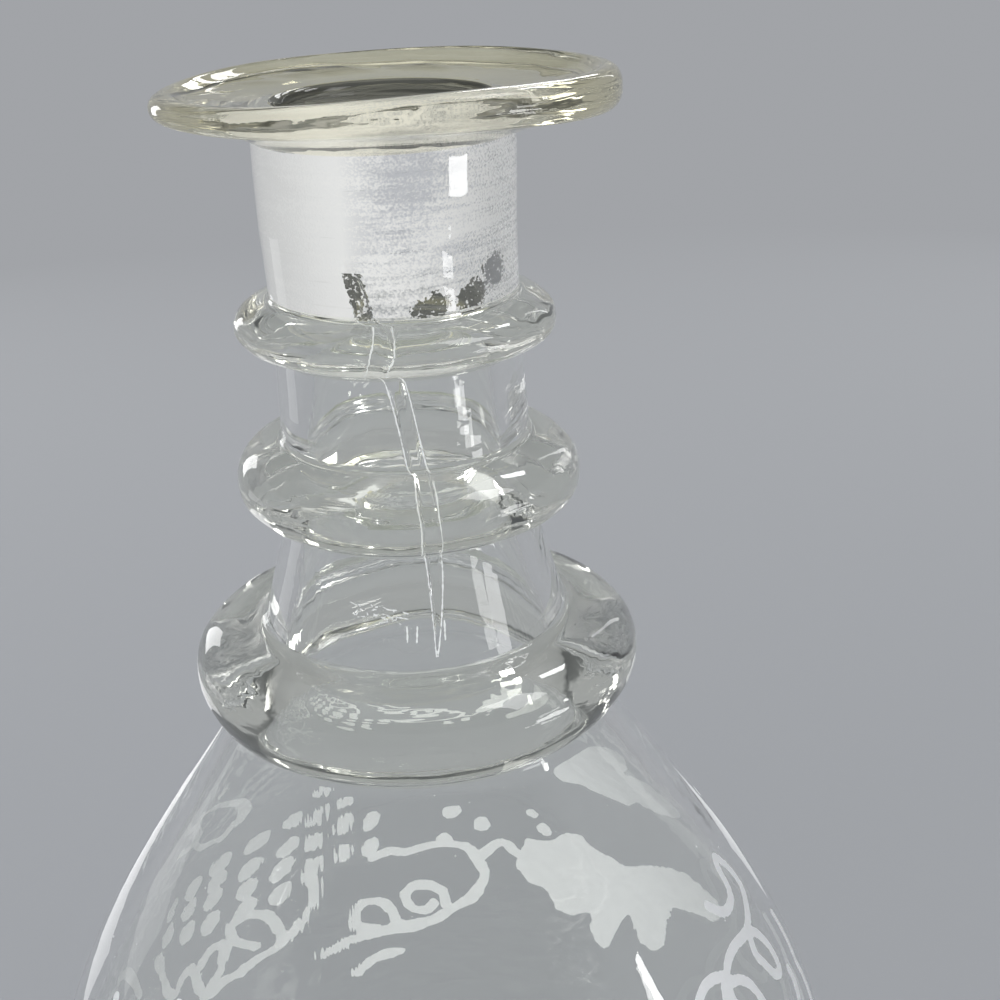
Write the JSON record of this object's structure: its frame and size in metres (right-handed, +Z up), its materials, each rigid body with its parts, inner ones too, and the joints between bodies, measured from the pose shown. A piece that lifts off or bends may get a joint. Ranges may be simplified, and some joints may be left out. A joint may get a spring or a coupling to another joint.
{
  "type": "decanter",
  "caption": "Blown glass decanter with an ovoid body, applied neck rings, a ground stopper seat and a wide flanged pouring lip; stands on a flat foot ring.",
  "frame": {"origin": "middle of the foot, on the surface that the decanter stands on", "axes": "+Z up along the axis of the neck; the body is turned round it, so X and Y are equivalent"},
  "size_m": [0.1254, 0.1254, 0.2385],
  "materials": {
    "vessel_glass": "clear blown glass with a ground seat in the neck and frosted etching on the body",
    "lip_glass": "clear tooled glass with a faint straw tint",
    "ring_glass": "clear trailed glass"
  },
  "bodies": {
    "root": {"vessel": "vessel_glass", "pouring_lip": "lip_glass", "neck_ring_upper": "ring_glass", "neck_ring_middle": "ring_glass", "neck_ring_lower": "ring_glass"}
  },
  "joints": []
}
